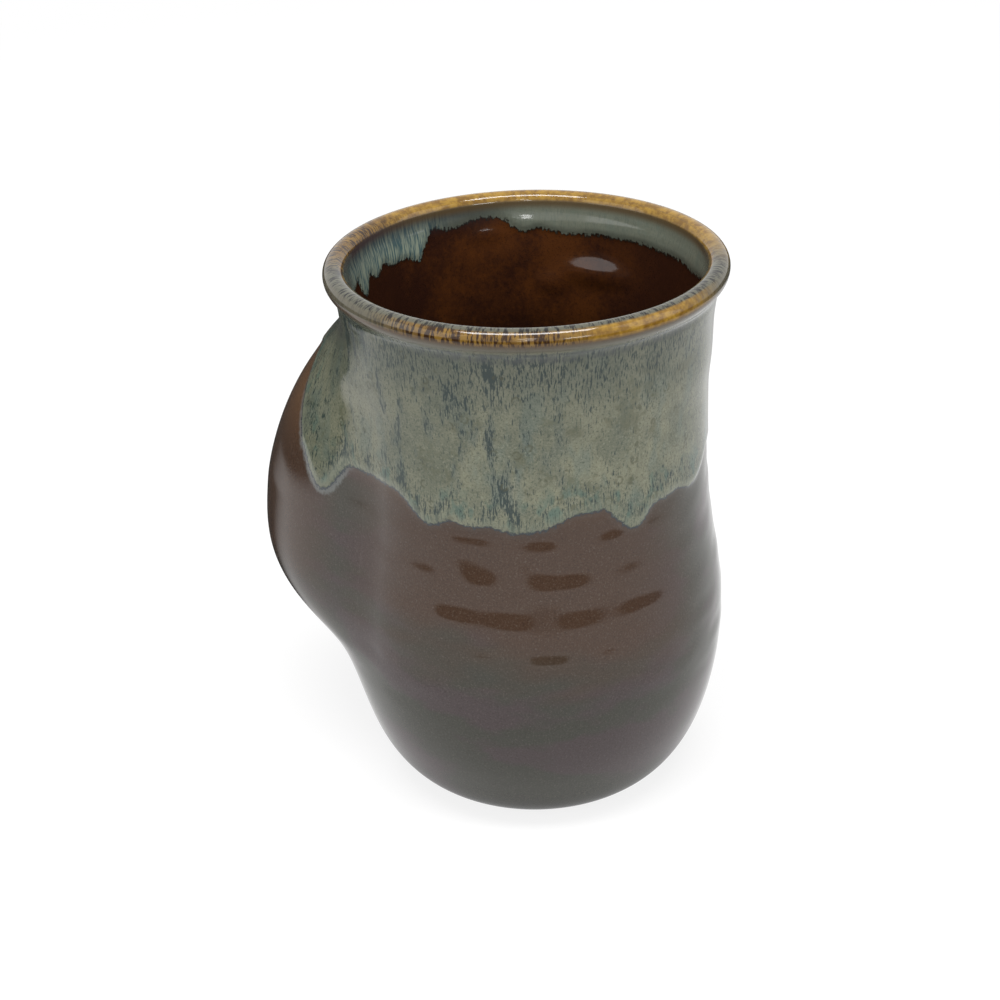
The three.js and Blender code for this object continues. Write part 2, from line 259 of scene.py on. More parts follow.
def bezier(start, start_handle, end_handle, end, steps=400):
    t = np.linspace(0.0, 1.0, steps)[:, None]
    a, b, c, d = (np.array(p, float) for p in (start, start_handle, end_handle, end))
    return a * (1 - t) ** 3 + 3 * b * t * (1 - t) ** 2 + 3 * c * t**2 * (1 - t) + d * t**3


def ellipse_arc(centre, across, up, first, last, steps=200):
    turn = np.radians(np.linspace(first, last, steps))
    return np.stack([centre[0] + across * np.cos(turn), centre[1] + up * np.sin(turn)], axis=1)


def cup_outline():
    rise = NECK_HEIGHT - BELLY_HEIGHT
    collar = RIM_SEAT - NECK_HEIGHT
    spread = BELLY_RADIUS - FOOT_RADIUS
    flare = COLLAR_RADIUS - NECK_RADIUS
    lower = bezier(
        (FOOT_RADIUS, 0),
        (FOOT_RADIUS + 0.79 * spread, 0.17 * BELLY_HEIGHT),
        (BELLY_RADIUS, 0.73 * BELLY_HEIGHT),
        (BELLY_RADIUS, BELLY_HEIGHT),
    )
    middle = bezier(
        (BELLY_RADIUS, BELLY_HEIGHT),
        (BELLY_RADIUS, BELLY_HEIGHT + 0.32 * rise),
        (NECK_RADIUS, NECK_HEIGHT - 0.67 * rise),
        (NECK_RADIUS, NECK_HEIGHT),
    )
    upper = bezier(
        (NECK_RADIUS, NECK_HEIGHT),
        (NECK_RADIUS, NECK_HEIGHT + 0.2 * collar),
        (COLLAR_RADIUS - 0.3 * flare, RIM_SEAT - 0.35 * collar),
        (COLLAR_RADIUS, RIM_SEAT),
    )
    return np.vstack([lower, middle[1:], upper[1:]])


def pocket_profile():
    depth = HAND_SPACE + POCKET_WALL
    below = POCKET_CROWN - POCKET_BOTTOM
    above = POCKET_TOP - POCKET_CROWN
    lower = bezier(
        (0, POCKET_BOTTOM),
        (0, POCKET_BOTTOM + 0.64 * below),
        (depth, POCKET_CROWN - 0.74 * below),
        (depth, POCKET_CROWN),
    )
    upper = bezier(
        (depth, POCKET_CROWN),
        (depth, POCKET_CROWN + 0.15 * above),
        (0.84 * depth, POCKET_TOP - 0.39 * above),
        (0, POCKET_TOP),
    )
    end_slope = (upper[-1] - upper[-2])[0] / (upper[-1] - upper[-2])[1]
    past = np.array([[end_slope * (RIM_TOP - POCKET_TOP), RIM_TOP]])
    return np.vstack([lower, upper[1:], past])


OUTLINE = cup_outline()
POCKET = pocket_profile()


def undercut(height):
    return UNDERCUT * smooth(UNDERCUT_START, UNDERCUT_FULL, height)


def outer_radius(height):
    return np.interp(height, OUTLINE[:, 1], OUTLINE[:, 0]) - undercut(height)


def inner_radius(height):
    share = np.clip((height - BELLY_HEIGHT) / (RIM_SEAT - BELLY_HEIGHT), 0, 1)
    return outer_radius(height) + undercut(height) - (BODY_WALL + (COLLAR_WALL - BODY_WALL) * share)


def pocket_depth(height):
    """Depth of the pocket at its middle, with a soft crease where it meets the neck."""
    depth = np.interp(height, POCKET[:, 1], POCKET[:, 0])
    soft = 0.5 * (depth + np.sqrt(depth**2 + POCKET_FILLET**2))
    fade = np.clip((height - POCKET_CROWN) / (POCKET_TOP - POCKET_CROWN), 0, 1)
    rim_fade = np.clip((RIM_SEAT - height) / (RIM_SEAT - POCKET_TOP), 0, 1)
    return depth * (1 - fade) + soft * fade * rim_fade**2 * (3 - 2 * rim_fade)


def lip_share(angle, depth):
    """Share of the bulge left near the lip, which sinks to the cup where the pocket gets shallow."""
    lip_end = -LIP_ANGLE - LIP_SCOOP
    kept = smooth(POCKET_WALL, LIP_END_DEPTH, depth)
    return kept + (1 - kept) * smooth(lip_end, lip_end + LIP_END_ANGLE, angle)


def bulge(angle, height):
    """How far the outside stands off the round cup, at an angle from the pocket's middle."""
    turn = np.pi * np.clip(angle / POCKET_SEAM_ANGLE, 0, 1)
    depth = pocket_depth(height)
    return depth * 0.5 * (1 + np.cos(turn)) * lip_share(angle, depth)


def hollow(angle, height):
    """How far the pocket's inside stands off the cup, sinking into the wall where the pocket closes."""
    room = bulge(angle, height) - POCKET_WALL
    open_room = np.maximum(room, 0)
    rounding = np.sqrt(2 * POCKET_CORNER * open_room) * np.exp(-open_room / POCKET_CORNER)
    return np.where(room > 0, open_room + rounding, np.maximum(2 * room, -HOLLOW_SINK))


def lip_angle(height):
    """Angle of the lip from the pocket's middle, scooped back in between."""
    return -(LIP_ANGLE + LIP_SCOOP * np.clip((height - LIP_MIDDLE) / LIP_HALF, -1, 1) ** 2)


# Glaze lines

def run_drop(runs, angle):
    drops = []
    for middle, half_width, drop in runs:
        share = np.clip(turned(angle - middle) / half_width, -1, 1)
        drops.append(drop * 0.5 * (1 + np.cos(np.pi * share)))
    return np.sum(np.power(drops, RUN_BLEND), axis=0) ** (1 / RUN_BLEND)


def outer_line(angle):
    turn = angle % 360.0
    climb = np.clip(DIP_CLIMB * (DIP_CLIMB_ANGLE - turn), 0, DIP_CLIMB_MOST)
    on_pocket = smooth(DIP_BEHIND_LIP, DIP_OVER_LIP, turn)
    return RIM_TOP - DIP_DEPTH - run_drop(OUTER_RUNS, angle) + climb * on_pocket


def inner_line(angle):
    return RIM_SEAT - INNER_DIP - run_drop(INNER_RUNS, angle)


def distance_above(line, angle, height, radius):
    """Signed distance in millimetres from a glaze line, positive on the dipped side."""
    step = 0.5
    slope = (line(angle + step) - line(angle - step)) / (2 * np.radians(step) * radius)
    return (height - line(angle)) / np.sqrt(1 + slope**2)


def coat(distance):
    return COAT * smooth(0, COAT_EDGE, distance)


def finger_rings(angle, height):
    """Low ridges left by the thrower, each broken into a row of shallow lens-shaped dimples."""
    turn = np.radians(angle)
    level = height / RING_PITCH + 0.06 * np.sin(2 * turn + 0.4) + 0.05 * np.sin(5 * turn)
    row = np.floor(level)
    ridge = np.sin(2 * np.pi * level) * np.abs(np.sin(np.pi * level)) ** 0.5
    lenses = np.cos(RING_LENSES * turn + 2.2 * row + 0.9 * np.sin(3 * turn + 1.7 * row))
    dimples = np.clip(0.5 + 0.5 * lenses + 0.35 * np.sin(7 * turn + 2.9 * row), 0.0, 1.0)
    stronger = 0.62 + 0.38 * np.cos(turn - np.radians(RING_SIDE)) ** 3
    deeper = 1 + 0.45 * np.clip(np.abs(height - RING_SHALLOWEST) / RING_DEEPER_OVER, 0, 1) ** 2
    band = smooth(*RING_START, height) * (1 - smooth(*RING_END, height))
    return RING_DEPTH * stronger * deeper * dimples * band * ridge


def pressed(marks, angle, height):
    """Depth of the soft round marks that fingers left in the wall."""
    swell = np.zeros_like(height)
    for middle, level, half_width, half_height, most in marks:
        reach = np.hypot(turned(angle - middle) / half_width, (height - level) / half_height)
        swell = swell + most * 0.5 * (1 + np.cos(np.pi * np.clip(reach, 0, 1)))
    return swell


def hand_wobble(angle, height):
    """Slow unevenness of a wall shaped by hand."""
    turn = np.radians(angle)
    slow = np.sin(2 * turn + 0.045 * height) + 0.6 * np.sin(3 * turn - 0.08 * height + 1.0)
    return WOBBLE * slow * smooth(*WOBBLE_START, height) * (1 - smooth(*WOBBLE_END, height))


# Meshes

def lengths_along(points):
    return np.concatenate([[0], np.cumsum(np.hypot(*np.diff(points, axis=0).T))])


def resample(points, step):
    length = lengths_along(points)
    count = max(2, int(round(length[-1] / step)) + 1)
    at = np.linspace(0, length[-1], count)
    return np.stack([np.interp(at, length, points[:, k]) for k in (0, 1)], axis=1)


def cup_profile():
    """The cup's section from the middle of its underside, over the rim, to the middle of its floor."""
    outside = OUTLINE[(OUTLINE[:, 1] > GLAZE_BOTTOM) & (OUTLINE[:, 1] < RIM_SEAT - RIM_BLEND)]
    outside = np.stack([outer_radius(outside[:, 1]), outside[:, 1]], axis=1)
    mid_rim = 0.5 * (RIM_SEAT + RIM_TOP)
    half_rim = 0.5 * (RIM_TOP - RIM_SEAT)
    rim_inside = COLLAR_RADIUS - COLLAR_WALL
    rim_outside = rim_inside + RIM_WIDTH
    bottom_edge = np.array([[0, GLAZE_BOTTOM], [outside[0][0] - GLAZE_CORNER, GLAZE_BOTTOM]])
    neck_end = outside[-1]
    lean = (outside[-1] - outside[-2]) / (outside[-1] - outside[-2])[1]
    roll_side = (rim_outside, mid_rim)
    under = bezier(neck_end, neck_end + NECK_HANDLE * lean, (rim_outside, mid_rim - ROLL_HANDLE), roll_side)
    crown = ellipse_arc((rim_inside + RIM_WIDTH / 2, mid_rim), RIM_WIDTH / 2, half_rim, 0, 180)
    roll = np.vstack([under[1:], crown[1:]])
    corner_height = FLOOR_HEIGHT + FLOOR_CORNER
    heights = np.linspace(RIM_SEAT, corner_height, INNER_STEPS)
    wall = np.stack([inner_radius(heights), heights], axis=1)
    corner_centre = (inner_radius(corner_height) - FLOOR_CORNER, corner_height)
    corner = ellipse_arc(corner_centre, FLOOR_CORNER, FLOOR_CORNER, 0, -90)
    inside = np.vstack([wall, corner[1:], [[0, FLOOR_HEIGHT]]])
    outer_rows = np.vstack([resample(bottom_edge, BOTTOM_ROW_STEP)[:-1], resample(outside, ROW_STEP)])
    roll_rows = resample(roll, RIM_ROW_STEP)
    inner_rows = resample(inside, ROW_STEP)
    crest = len(outer_rows) + int(np.argmax(roll_rows[:, 1]))
    return np.vstack([outer_rows, roll_rows, inner_rows]), crest


def make_mesh(name, points, faces, attributes):
    mesh = bpy.data.meshes.new(name)
    mesh.from_pydata((points * MM).tolist(), [], faces)
    for key, values in attributes.items():
        mesh.attributes.new(key, "FLOAT", "POINT").data.foreach_set("value", values.astype(np.float32))
    mesh.polygons.foreach_set("use_smooth", np.ones(len(mesh.polygons), bool))
    mesh.validate()
    mesh.update()
    piece = bpy.data.objects.new(name, mesh)
    bpy.context.scene.collection.objects.link(piece)
    return piece


def grid_faces(rows, columns, first=0, wraps=False, flip=False):
    across = columns if wraps else columns - 1
    row, column = np.meshgrid(np.arange(rows - 1), np.arange(across), indexing="ij")
    beside = (column + 1) % columns
    quads = np.stack([
        row * columns + column,
        row * columns + beside,
        (row + 1) * columns + beside,
        (row + 1) * columns + column,
    ], axis=-1).reshape(-1, 4) + first
    if flip:
        quads = quads[:, ::-1]
    return quads.tolist()


def closed_faces(rows, columns):
    """Faces of rings that are closed at both ends by a pole, numbered after the rings' points."""
    faces = grid_faces(rows, columns, wraps=True)
    last = (rows - 1) * columns
    first_pole = rows * columns
    for column in range(columns):
        beside = (column + 1) % columns
        faces.append([beside, column, first_pole])
        faces.append([last + column, last + beside, first_pole + 1])
    return faces


def border_loop(rows, columns):
    """Numbers of the points round the edge of a grid, in order."""
    border = list(range(columns))
    border += [row * columns + columns - 1 for row in range(1, rows)]
    border += [(rows - 1) * columns + column for column in range(columns - 2, -1, -1)]
    border += [row * columns for row in range(rows - 2, 0, -1)]
    return border


def polar(angle, radius, height):
    turn = np.radians(angle)
    return np.stack([radius * np.cos(turn), radius * np.sin(turn), height], axis=-1)


def seam_swell(angle, height):
    """The cup's own share of the pocket's soft seam, fading out under the pocket and past its lip."""
    from_middle = turned(angle - POCKET_MIDDLE)
    rise = bulge(from_middle, height)
    under = 1 - smooth(SEAM_BLEND, SEAM_FADE * SEAM_BLEND, rise)
    lip = lip_angle(height)
    return rise * under * smooth(lip - LIP_FADE_BEFORE, lip + LIP_FADE_AFTER, from_middle)


def thrown_cup():
    profile, crest = cup_profile()
    rows = profile[1:-1]
    angles = np.arange(TURN_STEPS) * 360.0 / TURN_STEPS
    angle, height = np.meshgrid(angles, rows[:, 1])
    angle, radius = np.meshgrid(angles, rows[:, 0])
    index = np.arange(1, len(profile) - 1)[:, None]
    outside_above = distance_above(outer_line, angle, height, radius)
    inside_above = distance_above(inner_line, angle, height, radius)
    above = np.where(index < crest, outside_above, inside_above)
    wall = (index < crest) & (height > GLAZE_BOTTOM) & (height < WALL_TOP)
    shaped = finger_rings(angle, height) + hand_wobble(angle, height) + seam_swell(angle, height)
    shaped = shaped - pressed(BELLY_HOLLOWS, angle, height)
    outside_coat = coat(outside_above) * (1 - smooth(*OUTER_COAT_END, height))
    radius = radius + np.where(wall, shaped + outside_coat, 0)
    inside_coat = INNER_COAT * coat(inside_above) * smooth(*INNER_COAT_START, height)
    inside_coat = inside_coat * (1 - smooth(*INNER_COAT_END, height))
    radius = radius - np.where(index > crest, inside_coat + pressed(INNER_SWELLS, angle, height), 0)
    length = lengths_along(profile)
    from_crest = length - length[crest]
    along = np.repeat(from_crest[1:-1, None], TURN_STEPS, axis=1)
    poles = np.array([[0, 0, profile[0][1]], [0, 0, profile[-1][1]]])
    points = np.vstack([polar(angle, radius, height).reshape(-1, 3), poles])
    attributes = {
        "dip": np.concatenate([above.ravel(), POLE_DIP]),
        "along": np.concatenate([along.ravel(), from_crest[[0, -1]]]),
    }
    return make_mesh("thrown_cup", points, closed_faces(len(rows), TURN_STEPS), attributes)


def pocket_rows():
    """Heights of the pocket's rows, closer together at both ends."""
    share = 0.5 * (1 - np.cos(np.linspace(0, np.pi, POCKET_ROWS)))
    low = POCKET_BOTTOM + POCKET_ROW_MARGIN
    high = RIM_SEAT - POCKET_ROW_MARGIN
    return low + (high - low) * (0.7 * np.linspace(0, 1, POCKET_ROWS) + 0.3 * share)


def hand_pocket():
    heights = pocket_rows()
    lips = lip_angle(heights)
    lip_half = 0.5 * np.maximum(bulge(lips, heights) - hollow(lips, heights), LIP_LEAST)
    nose = np.degrees(lip_half / (outer_radius(heights) + bulge(lips, heights)))
    nose_steps = 1 - np.cos(np.linspace(0, 0.5 * np.pi, NOSE_STEPS))
    shares = np.linspace(0, 1, POCKET_COLUMNS - NOSE_STEPS + 1)[1:]
    seam = POCKET_SEAM_ANGLE * SEAM_REACH
    on_nose = np.concatenate([nose_steps, np.ones(len(shares))])
    angle = np.concatenate([
        lips[:, None] + nose[:, None] * nose_steps[None, :],
        (lips + nose)[:, None] + (seam - lips - nose)[:, None] * shares[None, :],
    ], axis=1)
    height = np.repeat(heights[:, None], angle.shape[1], axis=1)
    rise = bulge(angle, height)
    sink = SEAM_SINK * (1 - smooth(0, SEAM_BLEND, rise))
    outside = rise - sink
    inside = np.minimum(hollow(angle, height), outside - SHELL_LEAST)
    middle = 0.5 * (outside + inside)
    half = 0.5 * (outside - inside) * np.sqrt(1 - (1 - on_nose) ** 2)[None, :]
    base = outer_radius(height)
    turned_angle = POCKET_MIDDLE + angle
    above = distance_above(outer_line, turned_angle, height, base + rise)
    surface = finger_rings(turned_angle, height) * (1 - smooth(*RING_POCKET_FADE, rise))
    surface = surface + hand_wobble(turned_angle, height)
    skin = base + middle + half + surface + coat(above) * smooth(0, COAT_ON_LIP, on_nose)[None, :]
    lining = base + middle - half
    outer_points = polar(turned_angle, skin, height).reshape(-1, 3)
    inner_points = polar(turned_angle, lining, height).reshape(-1, 3)
    rows, columns = angle.shape
    count = rows * columns
    faces = grid_faces(rows, columns) + grid_faces(rows, columns, first=count, flip=True)
    border = border_loop(rows, columns)
    for here, after in zip(border, border[1:] + border[:1]):
        faces.append([after, here, here + count, after + count])
    along = -(RIM_TOP - height) - ROLL_LENGTH
    attributes = {
        "dip": np.concatenate([above.ravel(), above.ravel()]),
        "along": np.concatenate([along.ravel(), along.ravel()]),
    }
    piece = make_mesh("hand_pocket_shell", np.vstack([outer_points, inner_points]), faces, attributes)
    weld_lip(piece)
    return piece


def weld_lip(piece):
    """Joins the outer and inner skins where they meet at the tip of the lip."""
    mesh = bmesh.new()
    mesh.from_mesh(piece.data)
    bmesh.ops.remove_doubles(mesh, verts=mesh.verts, dist=WELD_DISTANCE)
    bmesh.ops.recalc_face_normals(mesh, faces=mesh.faces)
    mesh.to_mesh(piece.data)
    mesh.free()


def bare_foot():
    edge = outer_radius(GLAZE_BOTTOM) - FOOT_SETBACK
    top = GLAZE_BOTTOM + FOOT_OVERLAP
    section = np.array([
        [0, 0],
        [FOOT_RADIUS - FOOT_EDGE_WIDTH, 0],
        [FOOT_RADIUS - FOOT_EDGE_INSET, FOOT_EDGE_HEIGHT],
        [edge, top],
        [0, top],
    ])
    face_rows = resample(section[:2], FOOT_FACE_STEP)[1:]
    top_rows = resample(section[3:], FOOT_TOP_STEP)[1:-1]
    rows = np.vstack([face_rows, section[2:4], top_rows])
    columns = TURN_STEPS // 2
    angles = np.arange(columns) * 720.0 / TURN_STEPS
    angle, radius = np.meshgrid(angles, rows[:, 0])
    angle, height = np.meshgrid(angles, rows[:, 1])
    poles = np.array([[0, 0, 0], [0, 0, top]])
    points = np.vstack([polar(angle, radius, height).reshape(-1, 3), poles])
    return make_mesh("bare_foot", points, closed_faces(len(rows), columns), {})


# Materials

# Mean radius of the wall, and roughness of the noise on it
WALL_RADIUS = 42.0
SHEET_ROUGHNESS = 0.6

# Colours, as linear red, green and blue

# Brown glaze
MAUVE_BROWN = (0.05, 0.036, 0.037)
OLIVE_BROWN = (0.038, 0.038, 0.029)
WARM_BROWN = (0.054, 0.031, 0.02)
BROWN_PALE_GRAIN = (0.12, 0.1, 0.085)
BROWN_DARK_GRAIN = (0.028, 0.018, 0.014)
RUST = (0.13, 0.07, 0.035)
# Lining
RED_BROWN = (0.024, 0.0085, 0.005)
AMBER = (0.068, 0.022, 0.006)
LINING_DARK_GRAIN = (0.008, 0.004, 0.003)
# Green glaze
GREY_GREEN = (0.12, 0.129, 0.09)
PALE_GREEN = (0.182, 0.183, 0.124)
SEA_GREEN = (0.1, 0.132, 0.112)
GREEN_PALE_GRAIN = (0.25, 0.25, 0.182)
GREEN_DARK_GRAIN = (0.044, 0.052, 0.038)
OLIVE_GREEN = (0.088, 0.09, 0.052)
BLUE_GREY = (0.075, 0.102, 0.1)
MOSS_GREY = (0.09, 0.1, 0.08)
TEAL = (0.04, 0.105, 0.092)
DARK_TEAL = (0.018, 0.032, 0.032)
CRATER_OLIVE = (0.055, 0.056, 0.03)
SHADED_GREEN = (0.05, 0.062, 0.048)
CREAM_GREEN = (0.21, 0.225, 0.16)
INNER_GREEN = (0.125, 0.137, 0.108)
COMB_PALE = (0.225, 0.262, 0.205)
COMB_BLUE = (0.06, 0.105, 0.11)
# Rim
GOLD = (0.29, 0.168, 0.024)
DARK_GOLD = (0.15, 0.076, 0.011)
DULL_GOLD = (0.1, 0.055, 0.02)
FLECK_BROWN = (0.03, 0.014, 0.006)
CREST_GREY = (0.085, 0.083, 0.06)
CREST_DARK = (0.01, 0.0095, 0.008)
UNDERSIDE_OLIVE = (0.086, 0.077, 0.054)
UNDERSIDE_BROWN = (0.085, 0.05, 0.03)
SLATE_GREY = (0.062, 0.068, 0.066)
PLAIN_OLIVE = (0.105, 0.094, 0.066)
# Painted shade inside the cup just under the roll, on the pocket's side
PAINTED_SHADE_BLUE = (0.024, 0.027, 0.033)
EDGING_MAUVE = (0.05, 0.034, 0.034)
EDGING_GOLD = (0.085, 0.054, 0.024)
# Edge of the dipped coat
FRINGE_GREY = (0.17, 0.185, 0.18)
LINE_SLATE = (0.03, 0.04, 0.05)
LINE_BROWN = (0.012, 0.008, 0.006)
# Clay, floor and table
CLAY = (0.36, 0.26, 0.17)
PALE_CLAY = (0.5, 0.38, 0.26)
CLAY_SPECKS = (0.12, 0.07, 0.04)
FLOOR_GREY = (0.65, 0.65, 0.65)
FLOOR_SHADE = (0.18, 0.18, 0.18)
TABLE_DARK = (0.03, 0.03, 0.03)


class Graph:
    """Short names for the nodes of one material or world."""

    def __init__(self, owner):
        owner.use_nodes = True
        self.owner = owner
        self.tree = owner.node_tree
        self.tree.nodes.clear()

    def add(self, kind, **settings):
        node = self.tree.nodes.new(kind)
        for key, value in settings.items():
            setattr(node, key, value)
        return node

    def set(self, socket, value):
        if isinstance(value, bpy.types.NodeSocket):
            self.tree.links.new(value, socket)
        elif isinstance(value, tuple) and len(value) == 3 and socket.type == "RGBA":
            socket.default_value = (*value, 1.0)
        else:
            socket.default_value = value

    def math(self, operation, *values):
        node = self.add("ShaderNodeMath", operation=operation)
        for socket, value in zip(node.inputs, values):
            self.set(socket, value)
        return node.outputs[0]

    def times(self, first, second):
        return self.math("MULTIPLY", first, second)

    def plus(self, first, second):
        return self.math("ADD", first, second)

    def minus(self, first, second):
        return self.math("SUBTRACT", first, second)

    def most(self, first, second):
        return self.math("MAXIMUM", first, second)

    def vector(self, operation, *values, scale=None):
        node = self.add("ShaderNodeVectorMath", operation=operation)
        for socket, value in zip(node.inputs, values):
            self.set(socket, value)
        if scale is not None:
            self.set(node.inputs["Scale"], scale)
        result = "Value" if operation in ("DOT_PRODUCT", "LENGTH") else "Vector"
        return node.outputs[result]

    def mix(self, factor, first, second):
        node = self.add("ShaderNodeMix", data_type="RGBA", clamp_factor=True)
        self.set(node.inputs["Factor"], factor)
        self.set(node.inputs[6], first)
        self.set(node.inputs[7], second)
        return node.outputs[2]

    def band(self, value, low, high, first=0.0, last=1.0):
        node = self.add("ShaderNodeMapRange", interpolation_type="SMOOTHSTEP")
        names = ("Value", "From Min", "From Max", "To Min", "To Max")
        for key, item in zip(names, (value, low, high, first, last)):
            self.set(node.inputs[key], item)
        return node.outputs["Result"]

    def noise(self, vector, scale, detail=3.0, roughness=0.55):
        node = self.add("ShaderNodeTexNoise")
        self.set(node.inputs["Vector"], vector)
        self.set(node.inputs["Scale"], scale)
        self.set(node.inputs["Detail"], detail)
        self.set(node.inputs["Roughness"], roughness)
        return node.outputs["Fac"]

    def attribute(self, name):
        return self.add("ShaderNodeAttribute", attribute_name=name).outputs["Fac"]

    def bump(self, height, strength, distance):
        node = self.add("ShaderNodeBump")
        self.set(node.inputs["Strength"], strength)
        self.set(node.inputs["Distance"], distance)
        self.set(node.inputs["Height"], height)
        return node.outputs[0]

    def mix_shader(self, factor, first, second):
        node = self.add("ShaderNodeMixShader")
        for socket, value in zip(node.inputs, (factor, first, second)):
            self.set(socket, value)
        return node.outputs[0]

    def surface(self, shader, kind="ShaderNodeOutputMaterial"):
        """Ends the tree with a shader, and returns the material or world that it belongs to."""
        output = self.add(kind)
        self.set(output.inputs["Surface"], shader)
        return self.owner


def unwrapped(graph):
    """The place in millimetres, the direction out from the axis as a unit vector, and the height."""
    place = graph.add("ShaderNodeTexCoord").outputs["Object"]
    millimetres = graph.vector("SCALE", place, scale=1000.0)
    parts = graph.add("ShaderNodeSeparateXYZ")
    graph.set(parts.inputs[0], millimetres)
    flat = graph.add("ShaderNodeCombineXYZ")
    graph.set(flat.inputs[0], parts.outputs[0])
    graph.set(flat.inputs[1], parts.outputs[1])
    around = graph.vector("NORMALIZE", flat.outputs[0])
    return millimetres, around, parts.outputs[2]


def sheet(graph, around, height, per_turn_mm, per_height_mm, detail=3.0):
    """Noise on the unrolled wall, with so many marks per millimetre round the cup and up it."""
    turn = graph.vector("SCALE", around, scale=WALL_RADIUS * per_turn_mm)
    lift = graph.add("ShaderNodeCombineXYZ")
    graph.set(lift.inputs[2], graph.times(height, per_height_mm))
    return graph.noise(graph.vector("ADD", turn, lift.outputs[0]), 1.0, detail, SHEET_ROUGHNESS)


def towards(graph, around, angle, start, full):
    """1 on the side of the cup that faces an angle, fading out from `full` to `start` degrees away."""
    turn = math.radians(angle)
    facing = graph.vector("DOT_PRODUCT", around, (math.cos(turn), math.sin(turn), 0.0))
    return graph.band(facing, math.cos(math.radians(start)), math.cos(math.radians(full)))


def between(graph, value, low, low_full, high_full, high):
    """1 from `low_full` to `high_full`, fading to 0 at `low` and `high`."""
    return graph.times(graph.band(value, low, low_full), graph.band(value, high, high_full))


def brown_glaze(graph, place, around, height):
    """Warm brown above that turns mauve and olive below, with a fine grain."""
    clouds = sheet(graph, around, height, 0.02, 0.05)
    olive = sheet(graph, around, height, 0.03, 0.07)
    grain = graph.noise(place, 2.4, 2.0, 0.8)
    low = graph.mix(graph.band(olive, 0.44, 0.56), MAUVE_BROWN, OLIVE_BROWN)
    shifted = graph.plus(height, graph.times(graph.minus(clouds, 0.5), 60.0))
    sides = graph.most(towards(graph, around, 293, 72, 32), towards(graph, around, 190, 42, 18))
    warm = graph.times(graph.band(shifted, 36.0, 58.0), sides)
    colour = graph.mix(warm, low, WARM_BROWN)
    colour = graph.mix(graph.band(grain, 0.52, 0.78, 0.0, 0.5), colour, BROWN_PALE_GRAIN)
    return graph.mix(graph.band(grain, 0.48, 0.25, 0.0, 0.7), colour, BROWN_DARK_GRAIN), grain


def lining_glaze(graph, place, around, height):
    """Dark red-brown that clears to amber in soft patches."""
    patches = sheet(graph, around, height, 0.035, 0.03)
    spots = graph.noise(place, 0.7, 3.0, 0.7)
    thin = graph.plus(patches, graph.times(spots, 0.35))
    far_side = towards(graph, around, 125, 60, 15)
    amber = graph.times(graph.band(thin, 0.55, 0.9), graph.plus(0.2, far_side))
    colour = graph.mix(amber, RED_BROWN, AMBER)
    grain = graph.noise(place, 2.6, 2.0, 0.8)
    return graph.mix(graph.band(grain, 0.46, 0.3, 0.0, 0.6), colour, LINING_DARK_GRAIN)


